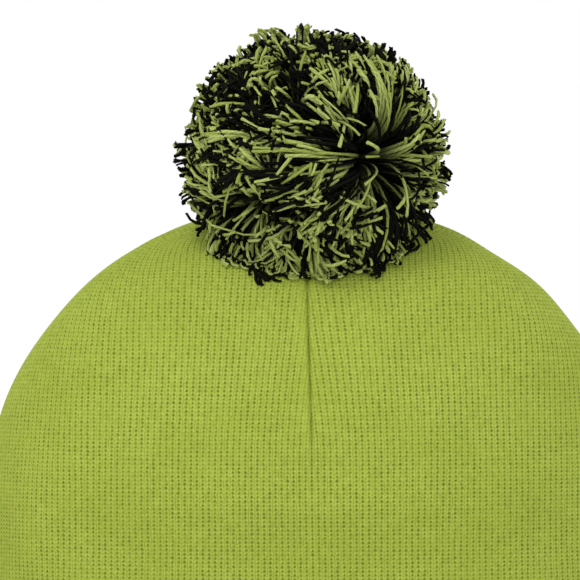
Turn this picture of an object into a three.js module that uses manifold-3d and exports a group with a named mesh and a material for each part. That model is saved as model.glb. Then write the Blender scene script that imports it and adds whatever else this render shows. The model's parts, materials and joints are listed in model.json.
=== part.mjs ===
// A pom pom beanie: a doubled knit hat with a turned-up cuff, and a two-colour yarn pom tied to its crown.
// Millimetres, +Z up. The origin is the centre of the head opening, level with the bottom of the hem fold.
import * as THREE from 'three';
import { mergeVertices } from 'three/addons/utils/BufferGeometryUtils.js';
import Module from 'manifold-3d';

const wasm = await Module();
wasm.setup();

// The hat's outer knit: an elliptical wall that narrows a little towards the hem, under half an ellipsoid.
const HALF_WIDTH = 106; // along X, at the widest level
const HALF_DEPTH = 84; // along Y, at the widest level
const WIDEST_Z = 108;
const APEX_Z = 205;
const HEM_TAPER = 2.5; // how much smaller both half axes are at the hem
const DOME_HEIGHT = APEX_Z - WIDEST_Z;

// The knit plies, as depths inside the outer surface. A negative depth lies outside it.
const GAP = 0.3; // between neighbouring pieces
const PLY = 2; // the face knit
const BACK_PLY = 1.8; // the knit that lines it
const LINING_DEPTH = 4.6; // leaves room for the seam allowances between the plies
const LINING_INSIDE = LINING_DEPTH + BACK_PLY;
const CUFF_BACK_DEPTH = -GAP;
const CUFF_FACE_DEPTH = CUFF_BACK_DEPTH - BACK_PLY - GAP;
const CUFF_OUTSIDE = CUFF_FACE_DEPTH - PLY;

// The turned-up cuff and the hem fold under it.
const CUFF_HEIGHT = 68;
const FOLD_HEIGHT = 6; // where the hem fold gives way to the straight plies
const TOP_FOLD_HEIGHT = 3;
const FOLD_EDGE = 1.2; // the rounding of a fold

// The crown's darts and gathering.
const DART_END_Z = 122;
const DART_RADIUS = 0.7;
const SEAM_DEPTH = 3.3; // the middle of the space between the plies
const GATHER_THREAD = 0.55;
const OUTER_GATHER_RADIUS = 4.5;
const LINING_GATHER_RADIUS = 6.3;
const GATHER_FORWARD = 27; // the gathered centre lies this far in front of the apex

// The pom and its tie, as heights along the pom's axis above the gathered centre.
const POM_RADIUS = 42.5;
const POM_CENTRE = 21.2;
const POM_CLEAR_ANGLE = 14; // degrees from the pom's underside to its base, room for the pom to lean
const CORD_RADIUS = 1.2;
const CORD_HOLE_RADIUS = 1.6;
const FOOT_KNOT_RADIUS = 2.5;
const FOOT_KNOT_HEIGHT = 3;
const INNER_KNOT_RADIUS = 3.4;
const BINDING_RADIUS = 3.4;
const BORE_RADIUS = 5.2; // the hollow in the yarn that holds the neck and the binding
const BORE_ABOVE_CENTRE = 3.5;
const SLEEVE_RADIUS = 11; // where the strands of one colour meet around the axis
const SLEEVE_ABOVE_BORE = 2.5;
const YARN_WEDGES = 5; // of each colour

// The blank care label inside the back of the hat.
const LABEL_WIDTH = 24;
const LABEL_HEIGHT = 40;
const LABEL_THICKNESS = 0.5;
const LABEL_TOP_Z = 62;
const LABEL_STANDOFF = 1.2; // keeps the flat label off the curved lining
const LABEL_STITCH_HEIGHT = 1;

// How finely round shapes are divided.
const AROUND = 48;
const DOME_STEPS = 8;
const DART_STEPS = 10;
const KNOT_SIDES = 12;
const CORD_SIDES = 12;
const THREAD_SIDES = 6;
const RING_STEPS = 16; // around a ring of thread or cord
const KNOT_ROWS = 8;
const BINDING_SIDES = 8;
const POM_SIDES = 30;
const POM_ROWS = 18;
const CONE_SIDES = 36;
const CUTTER_SIDES = 20;
const CUT_OVERSHOOT = 4; // how far a cutter runs past what it cuts

const COLOURS = {
  knit: new THREE.Color(0xa2b147),
  lining: new THREE.Color(0x98a843),
  thread: new THREE.Color(0x8a9a3c),
  limeYarn: new THREE.Color(0x99a552),
  blackYarn: new THREE.Color(0x17180f),
  label: new THREE.Color(0xe9e8e0),
};

function named(name, geometry, colour, roughness = 0.92) {
  const material = new THREE.MeshStandardMaterial({ color: colour, roughness, metalness: 0 });
  const mesh = new THREE.Mesh(geometry, material);
  mesh.name = name;
  return mesh;
}

// ---- Solids ----

// A geometry as merged vertices and triangles, without the flat triangles that lie at a lathe's axis.
function cleaned(geometry) {
  const bare = new THREE.BufferGeometry();
  bare.setAttribute('position', geometry.attributes.position.clone());
  if (geometry.index) bare.setIndex(geometry.index.clone());
  const merged = mergeVertices(bare, 1e-4);
  const corners = merged.index.array;
  const kept = [];
  for (let i = 0; i < corners.length; i += 3) {
    const [a, b, c] = [corners[i], corners[i + 1], corners[i + 2]];
    if (a !== b && b !== c && c !== a) kept.push(a, b, c);
  }
  merged.setIndex(kept);
  return merged;
}

function toSolid(geometry) {
  const clean = cleaned(geometry);
  return new wasm.Manifold(new wasm.Mesh({
    numProp: 3,
    vertProperties: new Float32Array(clean.attributes.position.array),
    triVerts: new Uint32Array(clean.index.array),
  }));
}

function toGeometry(solid) {
  const mesh = solid.getMesh();
  const geometry = new THREE.BufferGeometry();
  geometry.setAttribute('position', new THREE.BufferAttribute(mesh.vertProperties, 3));
  geometry.setIndex(new THREE.BufferAttribute(mesh.triVerts, 1));
  return geometry;
}

// A cylinder along Z between two heights.
function rod(radius, low, high, sides = CORD_SIDES) {
  const geometry = new THREE.CylinderGeometry(radius, radius, high - low, sides);
  geometry.rotateX(Math.PI / 2);
  geometry.translate(0, 0, (low + high) / 2);
  return geometry;
}

// ---- The hat's surface ----

// The half axes of the wall's section, at a depth inside its outer surface.
function wallRing(depth, z) {
  const narrower = HEM_TAPER * (1 - z / WIDEST_Z);
  return { rx: HALF_WIDTH - narrower - depth, ry: HALF_DEPTH - narrower - depth, z };
}

function domeRing(depth, share) {
  const angle = (share * Math.PI) / 2;
  const across = share === 1 ? 0 : Math.cos(angle);
  return {
    rx: (HALF_WIDTH - depth) * across,
    ry: (HALF_DEPTH - depth) * across,
    z: WIDEST_Z + (DOME_HEIGHT - depth) * Math.sin(angle),
  };
}

// The dome's point over a place in plan.
function domePoint(depth, x, y) {
  const across = (x / (HALF_WIDTH - depth)) ** 2 + (y / (HALF_DEPTH - depth)) ** 2;
  return new THREE.Vector3(x, y, WIDEST_Z + (DOME_HEIGHT - depth) * Math.sqrt(1 - across));
}

// Turns a profile of rings about Z and squeezes each ring to its own ellipse.
function ringSolid(profile) {
  const outline = profile.map((ring) => new THREE.Vector2(ring.rx, ring.z));
  const geometry = new THREE.LatheGeometry(outline, AROUND);
  const places = geometry.attributes.position;
  for (let i = 0; i < places.count; i++) {
    const ring = profile[i % profile.length];
    const squeeze = ring.rx > 0 ? ring.ry / ring.rx : 1;
    places.setXYZ(i, places.getX(i), -places.getZ(i) * squeeze, places.getY(i));
  }
  return geometry;
}

// A ring of fabric from a closed outline of [depth, z] pairs.
function band(outline) {
  const profile = [...outline, outline[0]].map(([depth, z]) => wallRing(depth, z));
  return cleaned(ringSolid(profile));
}

// ---- The crown ----

const gatherPoint = domePoint(0, 0, -GATHER_FORWARD);
const gatherNormal = new THREE.Vector3(
  0,
  gatherPoint.y / HALF_DEPTH ** 2,
  (gatherPoint.z - WIDEST_Z) / DOME_HEIGHT ** 2,
).normalize();

// Places what it holds with local +Z along the pom's axis and its origin at the gathered centre.
function onPomAxis() {
  const group = new THREE.Group();
  group.position.copy(gatherPoint);
  group.quaternion.setFromUnitVectors(new THREE.Vector3(0, 0, 1), gatherNormal);
  return group;
}

// A hat-shaped ply between two depths, with a hole for the pom's tie at the gathered centre.
function crownPly(outside, inside) {
  const shares = Array.from({ length: DOME_STEPS }, (_, i) => 1 - i / DOME_STEPS);
  const levels = [WIDEST_Z, (WIDEST_Z + FOLD_HEIGHT) / 2, FOLD_HEIGHT];
  const side = (depth) => [
    ...shares.map((share) => domeRing(depth, share)),
    ...levels.map((z) => wallRing(depth, z)),
  ];
  const shell = toSolid(ringSolid([...side(inside), ...side(outside).reverse()]));
  const hole = rod(CORD_HOLE_RADIUS, -inside - CUT_OVERSHOOT, CUT_OVERSHOOT);
  hole.applyMatrix4(pomAxis.matrixWorld);
  return toGeometry(shell.subtract(toSolid(hole)));
}

// The bead of a sewn dart, lying between the plies from the gathered centre out to the dart's end.
function dart(direction) {
  const ringShare = Math.sqrt(1 - ((DART_END_Z - WIDEST_Z) / (DOME_HEIGHT - SEAM_DEPTH)) ** 2);
  const endX = Math.cos(direction) * (HALF_WIDTH - SEAM_DEPTH) * ringShare;
  const endY = Math.sin(direction) * (HALF_DEPTH - SEAM_DEPTH) * ringShare;
  const points = [];
  for (let i = 1; i <= DART_STEPS; i++) {
    const share = Math.sin(((i / DART_STEPS) * Math.PI) / 2);
    const y = -GATHER_FORWARD + (endY + GATHER_FORWARD) * share;
    points.push(domePoint(SEAM_DEPTH, endX * share, y));
  }
  const section = new THREE.Shape();
  section.absarc(0, 0, DART_RADIUS, 0, 2 * Math.PI);
  return new THREE.ExtrudeGeometry(section, {
    extrudePath: new THREE.CatmullRomCurve3(points),
    steps: DART_STEPS,
    curveSegments: 4,
  });
}

function darts(prefix, places, colour) {
  return places.map(([side, degrees]) =>
    named(`${prefix}_${side}`, dart(THREE.MathUtils.degToRad(degrees)), colour));
}

function gatherThread(radius) {
  const geometry = new THREE.TorusGeometry(radius, GATHER_THREAD, THREAD_SIDES, RING_STEPS);
  geometry.translate(0, 0, -SEAM_DEPTH);
  return geometry;
}

// ---- The cuff ----

function cuffPly(outside, inside) {
  const top = CUFF_HEIGHT - TOP_FOLD_HEIGHT;
  return band([[inside, FOLD_HEIGHT], [outside, FOLD_HEIGHT], [outside, top], [inside, top]]);
}

function cuffTopFold() {
  const low = CUFF_HEIGHT - TOP_FOLD_HEIGHT + GAP;
  const shoulder = CUFF_HEIGHT - FOLD_EDGE;
  return band([
    [CUFF_BACK_DEPTH, low],
    [CUFF_OUTSIDE, low],
    [CUFF_OUTSIDE, shoulder],
    [CUFF_OUTSIDE + FOLD_EDGE, CUFF_HEIGHT],
    [CUFF_BACK_DEPTH - FOLD_EDGE, CUFF_HEIGHT],
    [CUFF_BACK_DEPTH, shoulder],
  ]);
}

// The lining's fold: a trough whose legs stand under the lining and under the cuff's face.
function liningFold() {
  const top = FOLD_HEIGHT - GAP;
  return band([
    [LINING_INSIDE, top],
    [LINING_INSIDE, FOLD_EDGE],
    [LINING_INSIDE - FOLD_EDGE, 0],
    [CUFF_OUTSIDE + FOLD_EDGE, 0],
    [CUFF_OUTSIDE, FOLD_EDGE],
    [CUFF_OUTSIDE, top],
    [CUFF_FACE_DEPTH, top],
    [CUFF_FACE_DEPTH, BACK_PLY],
    [LINING_DEPTH, BACK_PLY],
    [LINING_DEPTH, top],
  ]);
}

// The face knit's fold, flattened inside the lining's, under the crown's wall and the cuff's back ply.
function faceFold() {
  const top = FOLD_HEIGHT - GAP;
  const low = BACK_PLY + GAP;
  const outside = CUFF_BACK_DEPTH - BACK_PLY;
  return band([
    [PLY, top],
    [PLY, low + FOLD_EDGE],
    [PLY - FOLD_EDGE, low],
    [outside + FOLD_EDGE, low],
    [outside, low + FOLD_EDGE],
    [outside, top],
  ]);
}

// ---- The pom ----

// Wedges of one colour about the axis, with their tips held off it by half a gap.
function wedges(offset) {
  const half = Math.PI / (2 * YARN_WEDGES);
  const tip = GAP / 2 / Math.sin(half);
  const reach = 2 * POM_RADIUS;
  let joined = null;
  for (let i = 0; i < YARN_WEDGES; i++) {
    const middle = ((2 * i + offset) * Math.PI) / YARN_WEDGES;
    const outline = new THREE.Shape([
      new THREE.Vector2(tip, 0),
      new THREE.Vector2(tip + reach * Math.cos(half), -reach * Math.sin(half)),
      new THREE.Vector2(tip + reach * Math.cos(half), reach * Math.sin(half)),
    ]);
    const wedge = new THREE.ExtrudeGeometry(outline, { depth: 2 * reach, bevelEnabled: false });
    wedge.translate(0, 0, -reach);
    wedge.rotateZ(middle);
    const solid = toSolid(wedge);
    joined = joined ? joined.add(solid) : solid;
  }
  return joined;
}

// A ball with a conical underside that stays clear of the crown, hollowed for the neck and the binding.
function yarnBall() {
  const ball = new THREE.SphereGeometry(POM_RADIUS, POM_SIDES, POM_ROWS);
  ball.rotateX(Math.PI / 2);
  ball.translate(0, 0, POM_CENTRE);
  const height = 2 * POM_RADIUS;
  const reach = height / Math.tan(THREE.MathUtils.degToRad(POM_CLEAR_ANGLE));
  const outline = [new THREE.Vector2(0, 0), new THREE.Vector2(reach, height), new THREE.Vector2(0, height)];
  const cone = new THREE.LatheGeometry(outline, CONE_SIDES);
  cone.rotateX(Math.PI / 2);
  cone.translate(0, 0, FOOT_KNOT_HEIGHT);
  const bore = rod(BORE_RADIUS, -FOOT_KNOT_HEIGHT, boreTop, CUTTER_SIDES);
  return toSolid(ball).intersect(toSolid(cone)).subtract(toSolid(bore));
}

const boreTop = POM_CENTRE + BORE_ABOVE_CENTRE;
const sleeveTop = boreTop + SLEEVE_ABOVE_BORE;
const poleTop = POM_CENTRE + 2 * POM_RADIUS;

// The lime strands meet in a sleeve around the binding.
function limeYarn() {
  const pole = toSolid(rod(SLEEVE_RADIUS + GAP, sleeveTop, poleTop, CUTTER_SIDES));
  const sleeve = toSolid(rod(SLEEVE_RADIUS, -FOOT_KNOT_HEIGHT, sleeveTop, CUTTER_SIDES));
  return toGeometry(yarnBall().intersect(wedges(0).subtract(pole).add(sleeve)));
}

// The black strands meet in a pole above it.
function blackYarn() {
  const pole = toSolid(rod(SLEEVE_RADIUS, sleeveTop + GAP, poleTop, CUTTER_SIDES));
  const sleeve = toSolid(rod(SLEEVE_RADIUS + GAP, -FOOT_KNOT_HEIGHT, sleeveTop + GAP, CUTTER_SIDES));
  return toGeometry(yarnBall().intersect(wedges(1).subtract(sleeve).add(pole)));
}

function knot(radius, height) {
  const geometry = new THREE.SphereGeometry(radius, KNOT_SIDES, KNOT_ROWS);
  geometry.rotateX(Math.PI / 2);
  geometry.translate(0, 0, height);
  return geometry;
}

function binding() {
  const geometry = new THREE.TorusGeometry(BINDING_RADIUS, CORD_RADIUS, BINDING_SIDES, RING_STEPS);
  geometry.translate(0, 0, POM_CENTRE);
  return geometry;
}

// ---- The care label ----

// Where the lining's inner face is at the middle of the back.
function backInside(z) {
  return wallRing(LINING_INSIDE, z).ry - LABEL_STANDOFF;
}

function careLabel() {
  const geometry = new THREE.BoxGeometry(LABEL_WIDTH, LABEL_THICKNESS, LABEL_HEIGHT);
  geometry.translate(0, 0, -LABEL_HEIGHT / 2);
  const label = named('care_label', geometry, COLOURS.label, 0.7);
  const rise = backInside(LABEL_TOP_Z) - backInside(LABEL_TOP_Z - LABEL_HEIGHT);
  label.rotation.x = -Math.atan2(rise, LABEL_HEIGHT);
  label.position.set(0, backInside(LABEL_TOP_Z), LABEL_TOP_Z);
  return label;
}

function careLabelStitches() {
  const geometry = new THREE.BoxGeometry(LABEL_WIDTH, LABEL_THICKNESS, LABEL_STITCH_HEIGHT);
  const stitches = named('care_label_stitches', geometry, COLOURS.label, 0.8);
  const z = LABEL_TOP_Z + GAP + LABEL_STITCH_HEIGHT / 2;
  stitches.position.set(0, backInside(z), z);
  return stitches;
}

// ---- The assembly ----

const pomAxis = onPomAxis();
pomAxis.updateMatrixWorld(true);

const hat = new THREE.Group();
hat.add(named('crown_outer_ply', crownPly(0, PLY), COLOURS.knit));
hat.add(named('crown_lining_ply', crownPly(LINING_DEPTH, LINING_INSIDE), COLOURS.lining));
hat.add(...darts('outer_dart', [['front', -90], ['right', 0], ['back', 90], ['left', 180]], COLOURS.thread));
hat.add(...darts('lining_dart', [
  ['front_right', -45],
  ['back_right', 45],
  ['back_left', 135],
  ['front_left', 225],
], COLOURS.thread));
hat.add(careLabelStitches());

const cuff = new THREE.Group();
cuff.add(named('cuff_face_ply', cuffPly(CUFF_OUTSIDE, CUFF_FACE_DEPTH), COLOURS.knit));
cuff.add(named('cuff_back_ply', cuffPly(CUFF_BACK_DEPTH - BACK_PLY, CUFF_BACK_DEPTH), COLOURS.lining));
cuff.add(named('cuff_top_fold', cuffTopFold(), COLOURS.knit));
cuff.add(named('hem_fold_lining', liningFold(), COLOURS.knit));
cuff.add(named('hem_fold_face', faceFold(), COLOURS.lining));

const tailsBottom = -LINING_INSIDE - 2 * GAP;
const innerKnot = knot(INNER_KNOT_RADIUS, tailsBottom - GAP - INNER_KNOT_RADIUS);
const neckStart = FOOT_KNOT_HEIGHT + FOOT_KNOT_RADIUS + GAP;
const neckEnd = POM_CENTRE + CORD_RADIUS + GAP;
const pomParts = [
  ['outer_gather_thread', gatherThread(OUTER_GATHER_RADIUS), COLOURS.thread],
  ['lining_gather_thread', gatherThread(LINING_GATHER_RADIUS), COLOURS.thread],
  ['pom_tie_tails', rod(CORD_RADIUS, tailsBottom, GAP / 2), COLOURS.blackYarn],
  ['pom_tie_knot', innerKnot, COLOURS.blackYarn],
  ['pom_foot_knot', knot(FOOT_KNOT_RADIUS, FOOT_KNOT_HEIGHT), COLOURS.blackYarn],
  ['pom_tie_neck', rod(CORD_RADIUS, neckStart, neckEnd), COLOURS.blackYarn],
  ['pom_binding_cord', binding(), COLOURS.blackYarn],
  ['pom_yarn_lime', limeYarn(), COLOURS.limeYarn],
  ['pom_yarn_black', blackYarn(), COLOURS.blackYarn],
];
pomAxis.add(...pomParts.map(([name, geometry, colour]) => named(name, geometry, colour)));

const beanie = new THREE.Group();
beanie.add(hat, cuff, pomAxis, careLabel());

export default beanie;
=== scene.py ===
"""A pom pom beanie: lime double knit with a turned-up cuff, and a lime and black yarn pom.

Lengths are in millimetres until a mesh is made. The hat is an elliptical wall under half an ellipsoid, whose
courses close in on the gathered point where the pom is tied, in front of the top.
"""
import json
import math

import bpy
import numpy as np
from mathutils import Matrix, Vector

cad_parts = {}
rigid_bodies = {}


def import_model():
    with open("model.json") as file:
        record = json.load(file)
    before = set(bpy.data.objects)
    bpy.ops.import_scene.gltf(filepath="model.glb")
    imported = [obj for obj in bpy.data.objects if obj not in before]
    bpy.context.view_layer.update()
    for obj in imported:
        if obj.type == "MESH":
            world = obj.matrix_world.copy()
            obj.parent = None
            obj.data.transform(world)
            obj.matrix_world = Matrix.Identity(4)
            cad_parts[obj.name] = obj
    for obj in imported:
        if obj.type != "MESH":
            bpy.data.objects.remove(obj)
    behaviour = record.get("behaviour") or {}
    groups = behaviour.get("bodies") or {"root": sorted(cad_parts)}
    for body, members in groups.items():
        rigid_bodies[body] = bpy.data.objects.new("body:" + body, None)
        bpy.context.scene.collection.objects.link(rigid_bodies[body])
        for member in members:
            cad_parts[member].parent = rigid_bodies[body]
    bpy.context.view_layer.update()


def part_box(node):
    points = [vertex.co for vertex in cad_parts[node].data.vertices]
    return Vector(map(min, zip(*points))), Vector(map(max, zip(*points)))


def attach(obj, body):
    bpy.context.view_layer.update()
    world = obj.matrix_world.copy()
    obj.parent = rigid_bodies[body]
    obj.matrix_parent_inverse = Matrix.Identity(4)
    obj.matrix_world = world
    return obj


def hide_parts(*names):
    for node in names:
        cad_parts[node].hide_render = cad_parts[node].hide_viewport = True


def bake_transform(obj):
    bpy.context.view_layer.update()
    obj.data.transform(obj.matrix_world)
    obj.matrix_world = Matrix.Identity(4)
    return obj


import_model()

MM = 0.001  # a millimetre in Blender's metres

# ---- Driving dimensions, as the CAD has them ----

crown_high = np.array(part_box("crown_outer_ply")[1]) / MM
cuff_high = np.array(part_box("cuff_top_fold")[1]) / MM
HALF_WIDTH, HALF_DEPTH, APEX_Z = crown_high
CUFF_HEIGHT = cuff_high[2]
WIDEST_Z = 108.0
DOME_HEIGHT = APEX_Z - WIDEST_Z
DOME_CENTRE = np.array([0.0, 0.0, WIDEST_Z])
DOME_AXES = np.array([HALF_WIDTH, HALF_DEPTH, DOME_HEIGHT])
HEM_TAPER = 2.5
HEM_EDGE_Z = 0.9  # the wall's lower edge, inside the hem fold
LINING_EDGE_Z = 6.4

# Depths below the hat's outer surface. Outside it they are negative.
LINING_INSIDE = 6.4
CUFF_BACK = -0.42
CUFF_OUTSIDE = -4.4

# The rings of the dome lean forward until they close on the gathered point, in front of the top.
GATHER_FORWARD = 27.0
POLE_TILT = math.asin(GATHER_FORWARD / HALF_DEPTH)
LEAN_FROM = math.radians(48)
LAST_RING = math.radians(88.6)
gather = np.array([0.0, -GATHER_FORWARD, WIDEST_Z + DOME_HEIGHT * math.cos(POLE_TILT)])
normal = np.array([0.0, gather[1] / HALF_DEPTH**2, (gather[2] - WIDEST_Z) / DOME_HEIGHT**2])
normal = normal / np.linalg.norm(normal)
forward = np.cross([1.0, 0.0, 0.0], normal)

# The knit. A wale is one column of stitches and a course is one row.
WALE = 1.93
COURSE = 1.28
FLATTEST = 0.8  # how far the knit foreshortens before it starts to spread instead
DART_TOP_Z = 185.0
DART_END_Z = 122.0
DART_REACH = 32.0  # how far from its seam a dart still takes knit in
PLEATS = 22  # round the gathered point
KNIT_SUNK = 0.22  # how far the knit's ground lies under the CAD's surface, for its stitches to reach it
HOLLOWS_BEGIN, HOLLOWS_FULL = 74.0, 96.0  # the soft hollows fade in at these heights, above the cuff

# The pom. It leans about a pivot just over the gathered point.
PIVOT = gather + 3 * normal
POM_CENTRE = gather + 19.6 * normal
POM_RADIUS = 41.2
STRAND_ROOT = 14.0  # how far from the pom's centre its strands start
HEART_RADIUS = 15.5
YARN_RADIUS = 0.55
STRAND_STEPS = 10
CLUMPS = 1150
CORD_LAY = 5.0  # how far along the cord its plies go round once


def smooth(low, high, value):
    """0 below low, 1 above high, and a smooth step between them."""
    share = np.clip((value - low) / (high - low), 0, 1)
    return share * share * (3 - 2 * share)


def bell(distance, width):
    """1 at no distance, and next to nothing past twice the width."""
    return np.exp(-((distance / width) ** 2))


def unit(vectors):
    """Vectors with the same directions, and a length of 1."""
    return vectors / np.maximum(np.linalg.norm(vectors, axis=-1, keepdims=True), 1e-9)


def run_along(line):
    """The distance run at each point of a line."""
    return np.concatenate([[0], np.cumsum(np.linalg.norm(np.diff(line, axis=0), axis=1))])


# ---- Meshes ----

def mesh_object(name, points, faces, uv=None, values=None, corner_uv=None):
    """An object from points in millimetres and faces of 3 or 4 corners. uv holds a pair per point or, as
    corner_uv, per corner of a face. values holds named numbers per point."""
    mesh = bpy.data.meshes.new(name)
    corners = np.concatenate([np.asarray(f, np.int32).ravel() for f in faces])
    counts = np.concatenate([np.full(len(f), len(f[0]), np.int32) for f in faces])
    mesh.vertices.add(len(points))
    mesh.vertices.foreach_set("co", (np.asarray(points, np.float64) * MM).astype(np.float32).ravel())
    mesh.loops.add(len(corners))
    mesh.loops.foreach_set("vertex_index", corners)
    mesh.polygons.add(len(counts))
    mesh.polygons.foreach_set("loop_start", np.concatenate([[0], np.cumsum(counts)[:-1]]).astype(np.int32))
    mesh.polygons.foreach_set("use_smooth", np.ones(len(counts), bool))
    mesh.update(calc_edges=True)
    if uv is not None:
        corner_uv = np.asarray(uv, np.float32)[corners]
    if corner_uv is not None:
        layer = mesh.uv_layers.new(name="Cloth")
        layer.data.foreach_set("uv", np.asarray(corner_uv, np.float32).ravel())
    for key, column in (values or {}).items():
        attribute = mesh.attributes.new(key, "FLOAT", "POINT")
        attribute.data.foreach_set("value", np.asarray(column, np.float32).ravel())
    mesh.validate()
    made = bpy.data.objects.new(name, mesh)
    bpy.context.scene.collection.objects.link(made)
    return made


def grid_faces(ids, flip=False):
    """The faces of a grid of point numbers. Where points coincide, a square becomes a triangle or nothing."""
    squares = np.stack([ids[:-1, :-1], ids[:-1, 1:], ids[1:, 1:], ids[1:, :-1]], -1).reshape(-1, 4)
    if flip:
        squares = squares[:, ::-1]
    same = squares == np.roll(squares, -1, axis=1)
    repeats = same.sum(1)
    fours = squares[repeats == 0]
    short = squares[repeats == 1]
    threes = short[~same[repeats == 1]].reshape(-1, 3)
    return [f for f in (fours, threes) if len(f)]


def frame_nodes(word):
    """The names of the CAD nodes with a word in them."""
    return [o.name for o in bpy.data.objects if word in o.name]


def finish_piece(piece, material, body, nodes=()):
    """Gives a piece its material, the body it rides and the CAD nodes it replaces."""
    piece.data.materials.append(material)
    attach(piece, body)
    if nodes:
        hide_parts(*nodes)
    return piece


# ---- The hat's surface ----

def wall_point(phi, z, depth):
    """The wall's point at an angle and height, a depth below the outer surface."""
    narrower = HEM_TAPER * (1 - z / WIDEST_Z)
    across = HALF_WIDTH - narrower - depth
    along = HALF_DEPTH - narrower - depth
    return np.stack([across * np.cos(phi), along * np.sin(phi), z + 0 * phi], -1)


def dome_point(phi, latitude, depth):
    """The dome's point on the ring at a latitude. The rings near the top lean until they close on the
    gathered point."""
    lean = POLE_TILT * smooth(LEAN_FROM, math.pi / 2, latitude)
    east = np.cos(latitude) * np.cos(phi)
    north = np.cos(latitude) * np.sin(phi)
    up = np.sin(latitude) + 0 * phi
    turned = np.stack([east, north * np.cos(lean) - up * np.sin(lean),
                       north * np.sin(lean) + up * np.cos(lean)], -1)
    return DOME_CENTRE + turned * (DOME_AXES - depth)


def surface_normal(points):
    """The outward direction of the hat's surface at points on or near it."""
    height = np.maximum(points[..., 2] - WIDEST_Z, 0)
    across = points[..., 0] / HALF_WIDTH**2
    along = points[..., 1] / HALF_DEPTH**2
    return unit(np.stack([across, along, height / DOME_HEIGHT**2], -1))


def knit_rows(bottom, share):
    """Rows up the wall and then the dome, a share of a course apart: (kind, height or latitude, course)."""
    rows = []
    count = int(round((WIDEST_Z - bottom) / (COURSE * share)))
    for i in range(count):
        z = WIDEST_Z - (count - i) * COURSE * share
        rows.append(("wall", z, (z - WIDEST_Z) / COURSE))
    fine = np.linspace(0, math.pi / 2, 2000)
    rise = DOME_HEIGHT * np.cos(fine)
    slope = np.hypot(rise, HALF_DEPTH * np.sin(fine))
    climbed = np.concatenate([[0], np.cumsum(np.maximum(rise, FLATTEST * slope)[:-1] * np.diff(fine))])
    for done in np.arange(0, climbed[-1], COURSE * share):
        latitude = float(np.interp(done, climbed, fine))
        if latitude < LAST_RING:
            rows.append(("dome", latitude, done / COURSE))
    return rows


def ring_of(row, phi, depth):
    """A row's points at angles, a depth below the outer surface."""
    kind, place, _ = row
    return wall_point(phi, place, depth) if kind == "wall" else dome_point(phi, place, depth)


def knit_columns(row, phi, dart):
    """How many millimetres of knit lie between the dart seam and each angle of a ring. Some are lost in
    the dart near its seam."""
    ring = ring_of(row, phi, 0.0)
    step = np.diff(ring, axis=0)
    width = np.maximum(np.abs(step[:, 0]), FLATTEST * np.linalg.norm(step, axis=1))
    run = np.concatenate([[0], np.cumsum(width)])
    return run + dart * np.exp(-run / DART_REACH)


def even_wales(angles, z, depth, per_wale):
    """Evenly spaced columns round the wall, so many to a wale: their places in wales, and their angles."""
    run = run_along(wall_point(angles, z, depth))
    wales = round(run[-1] / WALE)
    u = np.arange(per_wale * wales + 1) / per_wale
    return u, np.interp(u / wales * run[-1], run, angles)


WAVE_COUNT = 14
waves = np.random.default_rng(7)
WAVE_WAYS = unit(waves.normal(size=(WAVE_COUNT, 3)))
WAVE_LENGTHS = waves.uniform(26, 75, WAVE_COUNT)
WAVE_STARTS = waves.uniform(0, 2 * math.pi, WAVE_COUNT)


def unevenness(points):
    """Soft hollows and swells of relaxed fabric, about 1 high."""
    phase = points @ WAVE_WAYS.T * (2 * math.pi / WAVE_LENGTHS) + WAVE_STARTS
    return np.sin(phase).sum(-1) / math.sqrt(WAVE_COUNT)


def knit_relief(u, v, rib=0.13, hole=0.28):
    """Heights of the knit's face: two legs to a wale, rib high, and a pit between wales at each course,
    hole deep."""
    legs = 0.5 - 0.5 * np.cos(4 * math.pi * u)
    between = (0.5 + 0.5 * np.cos(2 * math.pi * u)) ** 3
    course = 0.5 + 0.5 * np.cos(2 * math.pi * v)
    return rib * (legs + 0.8 * between * (1 - course)) - hole * between * course


def seam_strength(z):
    """How far a dart is sewn shut at a height: 0 below its end, 1 above it."""
    return smooth(DART_END_Z - 5, DART_END_Z + 16, z)


def dart_relief(run, side, z):
    """The sunk line of a dart, with the knit lifted beside it over the seam allowance, most on the left."""
    lift = 0.5 if side < 0 else 0.2
    groove = -0.85 * bell(run, 0.5)
    lip = lift * bell(run - 2.0, 1.4)
    return seam_strength(z) * (groove + lip)


def panel_grid(side, front):
    """The right-hand panel's smooth surface, with rows half a course and columns a quarter wale apart.

    Gives its points, their places in wales and courses, their distances from the front or back dart and
    from the side dart, and the point numbers row by row."""
    start = -math.pi / 2 if front else math.pi / 2
    phi = np.linspace(start, 0, 260)
    rows = knit_rows(HEM_EDGE_Z, 0.5)
    spacing = WALE / 4
    columns = []
    for row in rows:
        z = ring_of(row, phi[:1], 0.0)[0, 2]
        dart = (7.0 if side < 0 else 5.0) * smooth(DART_END_Z, DART_TOP_Z, z) + 3.0 * smooth(170, 204, z)
        columns.append(knit_columns(row, phi, dart))
    most = int(math.ceil(max(c[-1] for c in columns) / spacing)) + 1
    wanted = np.arange(most) * spacing
    points, uvs, runs, rests, ids = [], [], [], [], []
    count = 0
    for row, run in zip(rows, columns):
        held = np.clip(wanted, run[0], run[-1])
        angle = np.interp(held, run, phi)
        new = np.concatenate([[True], np.diff(held) > 1e-6])
        points.append(ring_of(row, angle[new], 0.0))
        uvs.append(np.stack([held[new] / WALE, np.full(new.sum(), row[2])], -1))
        runs.append(held[new] - run[0])
        rests.append(run[-1] - held[new])
        ids.append(count + np.cumsum(new) - 1)
        count += new.sum()
    return (*(np.concatenate(part) for part in (points, uvs, runs, rests)), np.stack(ids))


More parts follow.
